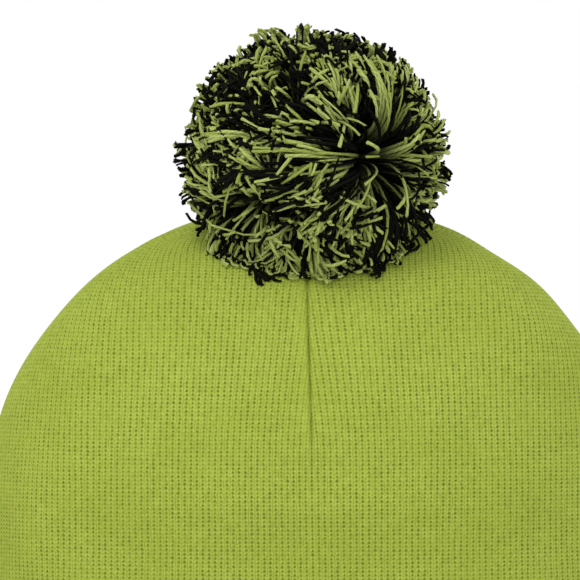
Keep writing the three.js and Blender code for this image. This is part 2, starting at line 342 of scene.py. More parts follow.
def crown_panel(name, side, front):
    """A quarter of the outer knit, from its front or back dart round to its side dart."""
    points, uvs, run, rest, ids = panel_grid(side, front)
    points[:, 0] *= side
    out = surface_normal(points)
    z = points[:, 2]
    seam = seam_strength(z)
    # The stitches are pressed flat beside a seam, and furthest on the left of the front one.
    pressed = 2.4 if side < 0 and front else 1.1
    plain = 1 - seam * (bell(run, pressed) + bell(rest, 1.1))
    height = knit_relief(uvs[:, 0], uvs[:, 1]) * np.clip(plain, 0.15, 1) - KNIT_SUNK
    height += dart_relief(run, side if front else 1, z) + dart_relief(rest, 1, z)
    height += 0.6 * smooth(HOLLOWS_BEGIN, HOLLOWS_FULL, z) * unevenness(points)
    # The lower edge flares a little to meet the hem fold.
    height += 0.3 * (1 - smooth(HEM_EDGE_Z, 3.5, z))
    if front:
        # The seam was sewn a little off the middle and runs askew. A dimple and a crease lie at its end.
        askew = -0.6 - 1.4 * smooth(DART_END_Z, DART_TOP_Z, z)
        points[:, 0] += askew * smooth(70, 120, z) * bell(points[:, 0], 14)
        x = points[:, 0]
        dimple = bell(x - 4, 4.5) * bell(z - DART_END_Z + 1, 6)
        slant = 0.12 * (z - DART_END_Z)
        crease = bell(x + 1.5 - slant, 2.2) * smooth(78, 92, z) * (1 - smooth(116, 126, z))
        height += -0.9 * dimple - 0.45 * crease
    away = np.linalg.norm(points - gather, axis=1)
    pleats = np.cos(np.arctan2(points[:, 1] - gather[1], points[:, 0]) * PLEATS)
    height += 0.7 * pleats * bell(away - 5, 9)
    points = points + out * height[:, None]
    # The painted shade in a seam's crease comes and goes.
    fading = 0.72 + 0.28 * np.sin(z / 7.0 + 0.6) * np.sin(z / 2.9)
    line = seam * fading * (bell(run, 0.3) + 0.8 * bell(rest, 0.3))
    faces = grid_faces(ids, flip=(side < 0) == front)
    return mesh_object(name, points, faces, uvs, {"seam": np.clip(1 - plain, 0, 1), "seam_line": line})


# ---- Materials ----

WHITE = (1, 1, 1, 1)


class Nodes:
    """Builds a material's nodes with short calls."""

    def __init__(self, name, roughness, sheen=0.0, sheen_tint=WHITE, shine=0.2):
        self.material = bpy.data.materials.new(name)
        self.material.use_nodes = True
        self.tree = self.material.node_tree
        self.shader = self.tree.nodes["Principled BSDF"]
        self.shader.inputs["Roughness"].default_value = roughness
        self.shader.inputs["Sheen Weight"].default_value = sheen
        self.shader.inputs["Sheen Roughness"].default_value = 0.45
        self.shader.inputs["Sheen Tint"].default_value = sheen_tint
        self.shader.inputs["Specular IOR Level"].default_value = shine

    def put(self, socket, value):
        """Links another node's output to a socket, or sets the socket's own value."""
        if isinstance(value, bpy.types.NodeSocket):
            self.tree.links.new(value, socket)
        else:
            socket.default_value = value

    def maths(self, operation, a, b=0.0):
        node = self.tree.nodes.new("ShaderNodeMath")
        node.operation = operation
        for socket, value in zip(node.inputs, (a, b)):
            self.put(socket, value)
        return node.outputs[0]

    def plus(self, a, b):
        return self.maths("ADD", a, b)

    def minus(self, a, b):
        return self.maths("SUBTRACT", a, b)

    def times(self, product, *factors):
        for factor in factors:
            product = self.maths("MULTIPLY", product, factor)
        return product

    def step(self, value, low, high, start=0.0, end=1.0):
        """A smooth step from start, where value is low, to end, where it is high."""
        node = self.tree.nodes.new("ShaderNodeMapRange")
        node.interpolation_type = "SMOOTHSTEP"
        numbers = {"Value": value, "From Min": low, "From Max": high, "To Min": start, "To Max": end}
        for key, number in numbers.items():
            self.put(node.inputs[key], number)
        return node.outputs[0]

    def mix(self, share, a, b):
        """The colour a, with a share of b."""
        node = self.tree.nodes.new("ShaderNodeMix")
        node.data_type = "RGBA"
        for socket, value in zip((node.inputs[0], node.inputs[6], node.inputs[7]), (share, a, b)):
            self.put(socket, value)
        return node.outputs[2]

    def uv(self):
        """Places on the cloth: both numbers, the first and the second."""
        node = self.tree.nodes.new("ShaderNodeUVMap")
        node.uv_map = "Cloth"
        split = self.tree.nodes.new("ShaderNodeSeparateXYZ")
        self.tree.links.new(node.outputs[0], split.inputs[0])
        return node.outputs[0], split.outputs[0], split.outputs[1]

    def value(self, name):
        """A number that the mesh holds per point."""
        node = self.tree.nodes.new("ShaderNodeAttribute")
        node.attribute_name = name
        return node.outputs["Fac"]

    def noise(self, vector, scale, detail=2.0):
        node = self.tree.nodes.new("ShaderNodeTexNoise")
        self.put(node.inputs["Scale"], scale)
        self.put(node.inputs["Detail"], detail)
        self.put(node.inputs["Vector"], vector)
        return node.outputs[0]

    def cell(self, x, y):
        """A number from 0 to 1 that is the same all over a whole-numbered cell."""
        joined = self.tree.nodes.new("ShaderNodeCombineXYZ")
        self.put(joined.inputs[0], self.maths("FLOOR", x))
        self.put(joined.inputs[1], self.maths("FLOOR", y))
        node = self.tree.nodes.new("ShaderNodeTexWhiteNoise")
        self.put(node.inputs["Vector"], joined.outputs[0])
        return node.outputs[0]

    def bump(self, height, distance, strength):
        node = self.tree.nodes.new("ShaderNodeBump")
        node.inputs["Strength"].default_value = strength
        node.inputs["Distance"].default_value = distance
        self.put(node.inputs["Height"], height)
        self.put(self.shader.inputs["Normal"], node.outputs[0])

    def colour(self, value):
        self.put(self.shader.inputs["Base Color"], value)


def srgb(red, green, blue):
    """A linear colour from the numbers 0 to 255 that a screen shows."""
    channels = [c / 255 for c in (red, green, blue)]
    return tuple(c / 12.92 if c <= 0.04045 else ((c + 0.055) / 1.055) ** 2.4 for c in channels) + (1.0,)


# The knit's own lime, a painted highlight for the crests of its legs, and painted shade for its grooves and
# pits.
LIME = srgb(143, 157, 42)
LIME_HIGHLIGHT = srgb(173, 187, 93)
LIME_GROOVE_SHADE = srgb(110, 126, 6)
LIME_PIT_SHADE = srgb(58, 74, 0)


def knit_material(name, light, base, groove, hole):
    """Knit with slanting legs, a pit between wales at each course, painted highlights and painted shade.
    Lengths in millimetres.
    """
    n = Nodes(name, 0.92, sheen=0.04, sheen_tint=srgb(200, 215, 90), shine=0.08)
    vector, u, v = n.uv()
    plain = n.minus(1.0, n.times(n.value("seam"), 0.9))
    # The stitches don't lie quite regularly.
    u = n.plus(u, n.times(n.minus(n.noise(vector, 0.7, 1.0), 0.5), 0.34))
    v = n.plus(v, n.times(n.minus(n.noise(vector, 0.45, 1.0), 0.5), 0.5))
    # How far a place lies across from the line between two wales, and along that line from a pit.
    next_u = n.plus(u, 0.5)
    next_v = n.plus(v, 0.5)
    across = n.times(n.maths("ABSOLUTE", n.minus(n.maths("FRACT", next_u), 0.5)), WALE)
    along = n.times(n.minus(n.maths("FRACT", next_v), 0.5), COURSE)
    from_pit = n.maths("SQRT", n.plus(n.times(across, across), n.times(along, along)))
    # Pits differ in size and depth, are weaker in patches, and close at the seams.
    size = n.step(n.cell(next_u, next_v), 0.0, 1.0, 0.5, 0.74)
    depth = n.step(n.cell(next_v, next_u), 0.0, 1.0, 0.6, 1.0)
    patch = n.step(n.noise(vector, 0.16), 0.3, 0.6, 0.65, 1.0)
    pit = n.times(n.minus(1.0, n.step(from_pit, 0.1, size)), plain, depth, patch)
    # Fine lines run between the wales, and in patches along the middle of them.
    between = n.minus(1.0, n.step(across, 0.03, 0.3))
    middle = n.step(across, 0.84, 1.0)
    patchy = n.step(n.step(n.noise(vector, 0.55), 0.35, 0.65), 0.0, 1.0, 0.15, 0.75)
    lines = n.maths("MAXIMUM", n.times(between, 0.12), n.times(middle, patchy))
    # Each leg of a stitch is round, and slants up towards the middle of its wale.
    slant = n.maths("FRACT", n.plus(v, n.times(across, 0.42)))
    leg = n.times(n.maths("SINE", n.times(slant, math.pi)), n.maths("SINE", n.times(across, math.pi)))
    fibres = n.noise(vector, 9.0, 3.0)
    # The colour drifts over the cloth and differs a little from stitch to stitch.
    drift = n.step(n.noise(vector, 0.05, 3.0), 0.3, 0.7, 0.0, 0.22)
    stitch = n.cell(n.times(u, 2.0), v)
    # Painted highlight: each leg is lightened along its crest.
    ground = n.mix(n.times(leg, 0.75), base, light)
    # Painted shade in the fine lines between the wales and along them.
    ground = n.mix(n.times(lines, plain), ground, groove)
    # Painted shade fills each pit.
    ground = n.mix(n.times(pit, 0.95), ground, hole)
    ground = n.mix(drift, ground, groove)
    ground = n.mix(n.times(stitch, 0.3), ground, groove)
    # Fine fibres take a little of the painted highlight.
    ground = n.mix(n.step(fibres, 0.25, 0.75, 0.0, 0.3), ground, light)
    # Painted shade darkens the seam's crease towards the pit colour.
    n.colour(n.mix(n.times(n.value("seam_line"), 0.7), ground, hole))
    hollows = n.plus(n.times(pit, 0.8), n.times(lines, 0.5))
    height = n.plus(n.minus(n.times(leg, 0.45), hollows), n.times(fibres, 0.35))
    n.bump(height, 0.00035, 0.8)
    return n.material


knit = knit_material("KnitFace", LIME_HIGHLIGHT, LIME, LIME_GROOVE_SHADE, LIME_PIT_SHADE)
# The back's ground takes the painted groove shade, and its highlight is the knit's own lime.
knit_back = knit_material("KnitBack", LIME, LIME_GROOVE_SHADE, LIME_GROOVE_SHADE, LIME_PIT_SHADE)


def yarn_material(name, pale, dark, root, sheen, shine):
    """Two-ply yarn: twisted, a little fuzzy, with painted shade in its ply grooves and towards its root."""
    n = Nodes(name, 0.88, sheen=sheen, sheen_tint=pale, shine=shine)
    vector, u, v = n.uv()
    twist = n.maths("FRACT", n.plus(n.times(u, 2.0), n.times(v, 0.38)))
    ply = n.maths("SINE", n.times(twist, math.pi))
    hairs = n.noise(vector, 3.0, 3.0)
    shade = n.plus(n.times(n.value("shade"), 0.65), n.times(hairs, 0.35))
    colour = n.mix(shade, dark, pale)
    # Painted shade in the grooves between the plies.
    colour = n.mix(n.step(ply, 0.0, 0.55, 0.45, 0.0), colour, dark)
    # Painted shade darkens each strand towards its root, deep in the pom.
    n.colour(n.mix(n.step(n.value("along"), 0.25, 0.8, 1.0, 0.0), colour, root))
    n.bump(n.plus(ply, n.times(hairs, 0.5)), 0.0003, 0.9)
    return n.material


def cord_material(name, pale, dark, shine=0.2):
    """Hard-spun thread, of an even colour."""
    n = Nodes(name, 0.9, shine=shine)
    place = n.tree.nodes.new("ShaderNodeTexCoord").outputs["Object"]
    hairs = n.noise(place, 1800.0, 3.0)
    n.colour(n.mix(hairs, dark, pale))
    n.bump(hairs, 0.0002, 0.8)
    return n.material


# Each yarn's last colour is the painted shade deep in the pom, by the strands' roots.
lime_yarn = yarn_material("LimeYarn", srgb(176, 186, 112), srgb(120, 136, 48), srgb(20, 25, 5), 0.15, 0.15)
black_yarn = yarn_material("BlackYarn", srgb(15, 16, 9), srgb(4, 5, 2), srgb(2, 2, 1), 0.0, 0.06)
black_cord = cord_material("BlackCord", srgb(14, 15, 9), srgb(4, 5, 2), shine=0.06)
thread = cord_material("Thread", srgb(150, 165, 66), srgb(110, 124, 40))

# ---- The crown ----

for side, side_word in ((-1, "left"), (1, "right")):
    for front, front_word in ((True, "front"), (False, "back")):
        panel = crown_panel(f"crown_knit_{front_word}_{side_word}", side, front)
        finish_piece(panel, knit, "hat", ["crown_outer_ply"])


# ---- The lining ----

def lining_half(name, front):
    """Half of the inner knit, with its reverse side showing and its darts halfway between the outer ones."""
    angles = np.linspace(-math.pi, 0, 1200) if front else np.linspace(0, math.pi, 1200)
    u, phi = even_wales(angles, WIDEST_Z, LINING_INSIDE, 2)
    points, uvs = [], []
    for row in knit_rows(LINING_EDGE_Z, 1.0):
        points.append(ring_of(row, phi, LINING_INSIDE))
        uvs.append(np.stack([u, np.full(len(u), row[2])], -1))
    points, uvs = np.concatenate(points), np.concatenate(uvs)
    z = points[:, 2]
    from_dart = np.abs(np.abs(np.arctan2(points[:, 1], np.abs(points[:, 0]))) - math.pi / 4)
    from_dart = from_dart * np.hypot(points[:, 0], points[:, 1])
    seam = smooth(DART_END_Z - 4, DART_END_Z + 14, z) * bell(from_dart, 1.6)
    purl = 0.12 * np.cos(4 * math.pi * uvs[:, 0]) * np.cos(2 * math.pi * uvs[:, 1])
    hollows = smooth(HOLLOWS_BEGIN, HOLLOWS_FULL, z)
    height = 0.15 - purl + 0.9 * seam + 0.35 * hollows * unevenness(points[:, [1, 0, 2]])
    points = points + surface_normal(points) * height[:, None]
    ids = np.arange(len(points)).reshape(-1, len(u))
    return mesh_object(name, points, grid_faces(ids, flip=True), uvs, {"seam": seam})


for front, word in ((True, "front"), (False, "back")):
    half = lining_half(f"lining_knit_{word}", front)
    finish_piece(half, knit_back, "hat", ["crown_lining_ply"])


# ---- The cuff ----

def hem_closure():
    """The knit that joins the face to the lining along the bottom, inside the hem fold."""
    # Its outline from the lining's edge to the face's, as depths and heights
    section = np.array([(6.3, 6.7), (5.9, 6.15), (4.5, 6.1), (3.9, 5.2), (3.7, 2.4), (2.8, 1.2),
                        (0.6, 0.95), (-0.1, 1.2)])
    columns = 625
    phi = np.linspace(0, 2 * math.pi, columns)
    points = np.concatenate([wall_point(phi, z, depth) for depth, z in section])
    u, v = np.meshgrid(np.arange(columns) / 2, run_along(section) / COURSE)
    ids = np.arange(len(points)).reshape(len(section), -1)
    uv = np.stack([u, v], -1).reshape(-1, 2)
    return mesh_object("hem_closure", points, grid_faces(ids, flip=True), uv)


closure = finish_piece(hem_closure(), knit_back, "hat")


def resampled(corners, step):
    """A line through corner points at even steps: rows of (depth, z, distance run)."""
    corners = np.array(corners, float)
    run = run_along(corners)
    count = max(int(round(run[-1] / step)), 1)
    at = np.linspace(0, run[-1], count + 1)
    return np.stack([np.interp(at, run, corners[:, 0]), np.interp(at, run, corners[:, 1]), at], -1)


def cuff_section():
    """Round the cuff's closed section: up its face, over its top, down its back, and through the hem."""
    out = CUFF_OUTSIDE + 0.2
    top = CUFF_HEIGHT
    shoulder = top - 1.8
    face = resampled([(out, 1.6), (out, shoulder)], COURSE)
    # The fold's inner side stands a little higher, which closes it against the wall when it is turned down.
    over = resampled([(out, shoulder), (out + 0.35, top - 0.75), (out + 1.3, top), (-1.3, top + 0.8),
                      (-0.65, top + 0.5), (CUFF_BACK, top - 1.0), (CUFF_BACK, shoulder)], 0.6)
    back = resampled([(CUFF_BACK, shoulder), (CUFF_BACK, 2.4)], 2 * COURSE)
    hem = resampled([(CUFF_BACK, 2.4), (CUFF_BACK, 0.9), (0.2, 0.45), (4.2, 0.45), (4.8, 1.2), (4.8, 5.0),
                     (5.4, 5.8), (6.2, 5.2), (6.4, 4.0), (6.4, 1.6), (6.0, 0.6), (5.0, 0.0), (-3.0, 0.0),
                     (-3.9, 0.5), (out, 1.6)], 0.8)
    rows, done = [], 0.0
    for part in (face, over, back, hem):
        part[:, 2] += done
        done = part[-1, 2]
        rows.append(part[:-1])
    rows.append(hem[-1:])
    return np.concatenate(rows)


def cuff_piece():
    """The cuff with its hem, closed all round: the last row and column of its grid are the first ones."""
    section = cuff_section()
    angles = np.linspace(-math.pi / 2, 1.5 * math.pi, 4000)
    u, phi = even_wales(angles, 0.5 * CUFF_HEIGHT, CUFF_OUTSIDE, 3)
    depth, z, distance = (section[:, i:i + 1] for i in range(3))
    v = distance / COURSE
    outward = unit(np.stack([-np.gradient(section[:, 1]), np.gradient(section[:, 0])], -1))
    # The open faces show the knit. What faces the hat's wall stays flat against it.
    shows = 1 - bell(np.minimum(np.abs(depth - CUFF_BACK), 3), 1)
    relief = knit_relief(u, v, rib=0.12, hole=0.18) * shows
    # The face is a little hollow here and there, and the top edge rises and falls.
    waves_round = np.sin(3 * phi + 0.8) + 0.6 * np.sin(5 * phi + 2.1) + 0.5 * np.sin(8 * phi)
    soft = 0.5 * smooth(20, CUFF_HEIGHT, z) * waves_round
    lift = np.maximum(soft, -0.6) * smooth(CUFF_HEIGHT - 6, CUFF_HEIGHT, z)
    moved_depth = depth + outward[:, :1] * relief - 0.35 * np.maximum(soft, 0) * smooth(8, 40, z) * shows
    moved_z = z + outward[:, 1:] * relief + 0.7 * lift
    points = wall_point(phi, moved_z, moved_depth)
    rows, columns = points.shape[0] - 1, points.shape[1] - 1
    ids = (np.arange(rows + 1) % rows)[:, None] * columns + np.arange(columns + 1) % columns
    uv = np.stack(np.broadcast_arrays(u, v), -1)
    corner_uv = np.stack([uv[:-1, :-1], uv[:-1, 1:], uv[1:, 1:], uv[1:, :-1]], 2).reshape(-1, 2)
    return mesh_object("cuff_knit", points[:-1, :-1].reshape(-1, 3), grid_faces(ids), corner_uv=corner_uv)


cuff = cuff_piece()
finish_piece(cuff, knit, "cuff", ["cuff_face_ply", "cuff_back_ply", "cuff_top_fold", "hem_fold_lining",
                                  "hem_fold_face"])


# ---- Cords and threads ----

def frames_along(paths, helper=None):
    """Directions ahead, beside and across at each point of paths, carried along without a twist. They start
    square to a helper direction."""
    ahead = unit(np.gradient(paths, axis=-2))
    start = ahead[..., 0, :]
    if helper is None:
        helper = np.where(np.abs(start[..., 2:]) < 0.8, [0.0, 0.0, 1.0], [1.0, 0.0, 0.0])
    beside = np.zeros_like(paths)
    beside[..., 0, :] = unit(np.cross(start, helper))
    for i in range(1, paths.shape[-2]):
        here = ahead[..., i, :]
        carried = beside[..., i - 1, :]
        beside[..., i, :] = unit(carried - here * (carried * here).sum(-1, keepdims=True))
    return ahead, beside, np.cross(ahead, beside)


def with_end(rows, end):
    """Rows of numbers per path, with one more at the end."""
    return np.concatenate([rows, end], 1)


def tube_faces(lengths, sides):
    """Faces and places on the cloth for tubes with rings at lengths (count, steps) along them: first their
    walls, then fans over their far ends and over their roots."""
    count, steps = lengths.shape
    i, k = np.meshgrid(np.arange(steps - 1), np.arange(sides), indexing="ij")
    next_k = (k + 1) % sides
    wall = np.stack([i * sides + k, i * sides + next_k, (i + 1) * sides + next_k, (i + 1) * sides + k], -1)
    fan = np.array([[0, j, j + 1] for j in range(1, sides - 1)])
    starts = (np.arange(count) * steps * sides)[:, None, None]
    faces = [
        (starts + wall.reshape(-1, 4)).reshape(-1, 4),
        (starts + (steps - 1) * sides + fan).reshape(-1, 3),
        (starts + fan[:, ::-1]).reshape(-1, 3),
    ]
    around = np.stack([k, k + 1, k + 1, k], -1).reshape(-1, 4) / sides
    rows = np.stack([i, i, i + 1, i + 1], -1).reshape(-1, 4)
    wall_uv = np.stack([np.broadcast_to(around, (count,) + around.shape), lengths[:, rows]], -1)
    end_uv = np.repeat(lengths[:, -1], fan.size)[:, None] * [[0.0, 1.0]]
    root_uv = np.zeros((count * fan.size, 2))
    return faces, np.concatenate([wall_uv.reshape(-1, 2), end_uv, root_uv])


def tubes(name, paths, radii, sides, shade=None, frayed=None):
    """Tubes along paths (count, steps, 3) with radii (count, steps), and a shade from 0 to 1 for each.
    Their far ends are low domes, or frayed cuts where frayed is a random generator."""
    count = len(paths)
    ahead, beside, other = frames_along(paths)
    last = ahead[:, -1:]
    end_reach, end_width = (0.25, 0.8) if frayed else (0.55, 0.5)
    lead = radii[:, :1] * end_reach
    paths = with_end(paths, paths[:, -1:] + last * lead[..., None])
    radii = with_end(radii, radii[:, -1:] * end_width)
    beside = with_end(beside, beside[:, -1:])
    other = with_end(other, other[:, -1:])
    steps = paths.shape[1]
    turn = np.arange(sides) * (2 * math.pi / sides)
    rings = beside[:, :, None] * np.cos(turn)[:, None] + other[:, :, None] * np.sin(turn)[:, None]
    thick = np.broadcast_to(radii[:, :, None], (count, steps, sides)).copy()
    if frayed:
        # The two plies wind round each other, so the section is longer one way and turns along the yarn.
        wind = frayed.uniform(0, math.pi, (count, 1, 1)) + 0.9 * np.arange(steps)[None, :, None]
        thick *= 1 + 0.2 * np.cos(2 * (turn - wind))
        thick[:, -2:] *= frayed.uniform(0.75, 1.2, (count, 2, sides))
    points = paths[:, :, None] + rings * thick[..., None]
    if frayed:
        points[:, -1] += last * frayed.uniform(-0.35, 0.45, (count, sides))[..., None]
    run = np.cumsum(np.linalg.norm(np.diff(paths, axis=1), axis=2), axis=1)
    faces, corner_uv = tube_faces(np.concatenate([np.zeros((count, 1)), run], 1), sides)
    shade = np.full(count, 0.5) if shade is None else shade
    values = {
        "along": np.broadcast_to(np.linspace(0, 1, steps)[None, :, None], (count, steps, sides)),
        "shade": np.broadcast_to(shade[:, None, None], (count, steps, sides)),
    }
    return mesh_object(name, points.reshape(-1, 3), faces, corner_uv=corner_uv, values=values)


def twisted(name, path, radius):
    """A cord of three plies laid around a path, each a little over half as thick as the cord."""
    run = run_along(path)
    count = max(int(run[-1] / 0.35), 12)
    at = np.linspace(0, run[-1], count)
    line = np.stack([np.interp(at, run, path[:, i]) for i in range(3)], -1)
    _, beside, other = frames_along(line, helper=[0.3, 0.9, 0.4])
    plies = []
    for k in range(3):
        angle = 2 * math.pi * (at / CORD_LAY + k / 3)
        plies.append(line + 0.5 * radius * (beside * np.cos(angle)[:, None] + other * np.sin(angle)[:, None]))
    return tubes(name, np.stack(plies), np.full((3, count), 0.56 * radius), 8)


def on_axis(points):
    """Points given along (X, the pom's forward, its axis) from the gathered centre."""
    points = np.asarray(points, float)
    return gather + points[:, :1] * [1, 0, 0] + points[:, 1:2] * forward + points[:, 2:] * normal


def knot_path(radius, height):
    """An overhand knot's line, which fits in a ball."""
    t = np.linspace(0, 2 * math.pi, 160)
    x = np.sin(t) + 2 * np.sin(2 * t)
    y = np.cos(t) - 2 * np.cos(2 * t)
    z = -1.5 * np.sin(3 * t)
    knot = np.stack([x, y, z], -1) / 3.0 * (radius - 0.75)
    return on_axis(knot + [0, 0, height])


def ring_path(radius, height):
    """One turn round the pom's axis."""
    t = np.linspace(0, 2 * math.pi, 90)
    return on_axis(np.stack([radius * np.cos(t), radius * np.sin(t), np.full(len(t), height)], -1))


TIE = [  # name, path, radius, body, CAD node
    ("tie_tails", on_axis([[0, 0, 0.1], [0, 0, -7.0]]), 1.15, "hat", "pom_tie_tails"),
    ("tie_knot_inside", knot_path(3.4, -10.7), 1.0, "hat", "pom_tie_knot"),
    ("tie_knot_outside", knot_path(2.5, 3.0), 0.8, "pom_foot", "pom_foot_knot"),
    ("tie_neck", on_axis([[0, 0, 5.8], [0, 0, 22.7]]), 1.15, "pom_neck", "pom_tie_neck"),
    ("tie_binding", ring_path(3.4, 21.2), 1.15, "pom_neck", "pom_binding_cord"),
]
for name, path, radius, body, node in TIE:
    finish_piece(twisted(name, path, radius), black_cord, body, [node])
for name in frame_nodes("dart") + frame_nodes("gather_thread"):
    bpy.data.objects[name].data.materials.clear()
    bpy.data.objects[name].data.materials.append(thread)


# ---- The pom ----

def on_front(x, up):
    """A direction on the pom's front, from how far it lies right of and above the middle."""
    return np.array([x, -math.sqrt(1 - x * x - up * up), up])


PARTINGS = [  # direction, how far strands lie over, how wide it reaches
    (on_front(0.62, 0.00), 1.0, 0.50),
    (on_front(-0.54, -0.46), 0.75, 0.42),
    (on_front(-0.12, 0.52), 0.62, 0.32),
    (on_front(0.02, -0.66), 0.50, 0.36),
    (unit(np.array([0.55, 0.75, 0.36])), 0.8, 0.6),
    (unit(np.array([-0.6, 0.7, -0.1])), 0.7, 0.5),
    (unit(np.array([-0.1, 0.2, 0.97])), 0.5, 0.45),
]
COMBINGS = [  # where on the front, which way strands lie there (right and up), how far, how wide it reaches
    (on_front(0.14, 0.04), (-1.0, 0.02), 0.65, 0.28),
    (on_front(-0.26, 0.02), (-1.0, 0.08), 0.75, 0.28),
    (on_front(-0.72, -0.25), (-1.0, -0.15), 0.35, 0.30),
    (on_front(-0.36, 0.55), (-0.35, 1.0), 0.45, 0.26),
    (on_front(0.26, 0.42), (-0.12, 1.0), 0.60, 0.28),
    (on_front(-0.28, -0.62), (-0.30, -1.0), 0.40, 0.30),
    (on_front(0.48, -0.60), (0.35, -1.0), 0.40, 0.30),
]


def even_ways(count):
    """Directions spread evenly over a ball, along a spiral."""
    index = np.arange(count) + 0.5
    height = 1 - 2 * index / count
    around = index * math.pi * (1 + 5**0.5)
    level = np.sqrt(1 - height**2)
    return np.stack([level * np.cos(around), level * np.sin(around), height], -1)


def combing(root):
    """How far, and which way, strands lie over at directions on the pom."""
    shift = np.zeros(root.shape)
    for centre, strength, reach in PARTINGS:
        facing = (root * centre).sum(-1, keepdims=True)
        away = unit(root - facing * centre)
        angle = np.arccos(np.clip(facing, -1, 1))
        shift += strength * bell(angle, reach) * smooth(0.0, 0.12, angle) * away
    for centre, (x, up), strength, reach in COMBINGS:
        way = np.array([x, 0.0, up])
        angle = np.arccos(np.clip(root @ centre, -1, 1))[:, None]
        shift += strength * bell(angle, reach) * (way - root * (root @ way)[:, None])
    return shift


def yarn_strands():
    """The pom's cut strands, held in clumps: their paths, radii, colours and shades."""
    rng = np.random.default_rng(21)
    ways = even_ways(CLUMPS)
    ways = unit(ways + rng.normal(scale=0.035, size=ways.shape))
    lime = rng.random(CLUMPS) < 0.5
    clump = np.repeat(np.arange(CLUMPS), rng.integers(4, 9, CLUMPS))
    count = len(clump)
    lime = lime[clump]
    # A clump has one colour, but some of its strands take either.
    odd = rng.random(count) < 0.42
    lime[odd] = rng.random(odd.sum()) < 0.5
    tip = unit(ways[clump] + rng.normal(scale=0.034, size=(count, 3)))
    root = unit(ways[clump] + rng.normal(scale=0.05, size=(count, 3)))

    # Strands towards the viewer are combed about more than the ones that make the outline.
    head_on = np.abs(root[:, 1])
    combed = 0.2 + 0.8 * smooth(0.2, 0.7, head_on)[:, None]
    shift = combing(root) * combed * rng.uniform(0.35, 1.2, CLUMPS)[clump][:, None]
    wander = rng.normal(scale=0.17, size=(CLUMPS, 3))[clump] * combed
    wander += rng.normal(scale=0.06, size=(count, 3)) * combed
    shift += wander - (wander * root).sum(-1, keepdims=True) * root
    # In front of the tie they hang down against the crown.
    hanging = smooth(0.3, 0.75, -(root @ normal)) * smooth(-0.2, 0.3, root @ forward)
    down = np.array([0, 0, -1.0]) + root[:, 2:] * root
    shift = shift * (1 - 0.6 * hanging[:, None]) + 0.35 * hanging[:, None] * down
    stray = rng.random(count) < 0.05 * (1 - hanging)
    shift[stray] = shift[stray] * 1.3 + rng.normal(scale=0.3, size=(stray.sum(), 3))

    # Their lengths differ more from clump to clump than inside one.
    reach = POM_RADIUS - 1.6 + rng.normal(scale=1.4, size=CLUMPS)[clump] + rng.normal(scale=0.5, size=count)
    reach = np.clip(reach, 36.5, POM_RADIUS + 1.2)
    # Round the outline, tufts stand out one by one.
    outline = (1 - smooth(0.25, 0.55, head_on)) * (1 - hanging)
    proud = np.where(rng.random(CLUMPS) < 0.4, rng.uniform(1.3, 2.5, CLUMPS), -0.9)[clump]
    reach = reach + outline * proud
    reach = reach + hanging * (6.2 + np.where(lime, 1.0, 4.4) * rng.random(count) ** 2)

    t = np.linspace(0, 1, STRAND_STEPS)[None, :, None]
    from_centre = STRAND_ROOT + (reach[:, None, None] - STRAND_ROOT) * np.sin(0.5 * math.pi * t) ** 0.95
    ways_along = unit(root[:, None] + (tip - root)[:, None] * t + shift[:, None] * t**2.3)
    curl = rng.normal(scale=0.55, size=(count, 1, 3)) * np.sin(math.pi * t) ** 2
    paths = POM_CENTRE + ways_along * from_centre + curl
    thickness = YARN_RADIUS * rng.uniform(0.62, 1.15, count)
    flare = 1 + 0.05 * smooth(0.85, 1.0, np.linspace(0, 1, STRAND_STEPS))
    uneven = 1 + rng.normal(scale=0.05, size=(count, STRAND_STEPS))
    radii = thickness[:, None] * flare * uneven
    return paths, radii, lime, rng.random(count)


def off_the_crown(paths, clearance=0.75):
    """Moves strand points that would be in the hat out over its surface."""
    for _ in range(3):
        inside = (paths - DOME_CENTRE) / DOME_AXES
        level = np.linalg.norm(inside, axis=-1)
        out = surface_normal(paths)
        deep = (1 - level) * np.linalg.norm(paths - DOME_CENTRE, axis=-1) + clearance
        paths = paths + out * np.maximum(deep, 0)[..., None]
    return paths


def low_on_pom(paths):
    """Which strands hang against the crown, below the room the pom needs to lean."""
    end = paths[:, -1] - PIVOT
    height = end @ normal
    ahead = end @ forward
    flat = np.sqrt(np.maximum((end**2).sum(-1) - height**2, 1e-6))
    # In degrees over the crown. The pom tips back and not forward, so it needs the least room in front.
    limit = 18 - 12 * smooth(0.2, 0.95, ahead / flat) + 3 * smooth(0.1, 0.5, -ahead / flat)
    return np.degrees(np.arctan2(height, flat)) < limit


def in_the_way(paths, low, steepest=42, crowding=0.93):
    """Which strands to leave out: those that end low but rise past steepest degrees on their way, as they
    would stand off the pom when it leans, and those whose roots crowd the tie."""
    outer_half = unit(paths[:, STRAND_STEPS // 2:] - PIVOT)
    highest = np.degrees(np.arcsin(outer_half @ normal)).max(1)
    root = unit(paths[:, 0] - POM_CENTRE)
    return (low & (highest > steepest)) | (root @ normal < -crowding)


paths, radii, is_lime, shades = yarn_strands()
paths = off_the_crown(paths)
low = low_on_pom(paths)
kept = ~in_the_way(paths, low)
paths, radii, is_lime, shades, low = (part[kept] for part in (paths, radii, is_lime, shades, low))
right = paths[:, -1, 0] > 0
places = {"left": ~low & ~right, "right": ~low & right, "under": low}
for is_colour, word, material, node in ((is_lime, "lime", lime_yarn, "pom_yarn_lime"),
                                        (~is_lime, "black", black_yarn, "pom_yarn_black")):
    for place, is_there in places.items():
        chosen = is_colour & is_there
        strands = tubes(f"pom_{word}_{place}", paths[chosen], radii[chosen], 5, shade=shades[chosen],
                        frayed=np.random.default_rng(5))
        if place == "under":
            strands.data.materials.append(material)
            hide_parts(node)
            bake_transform(strands)
        else:
            finish_piece(strands, material, "pom", [node])


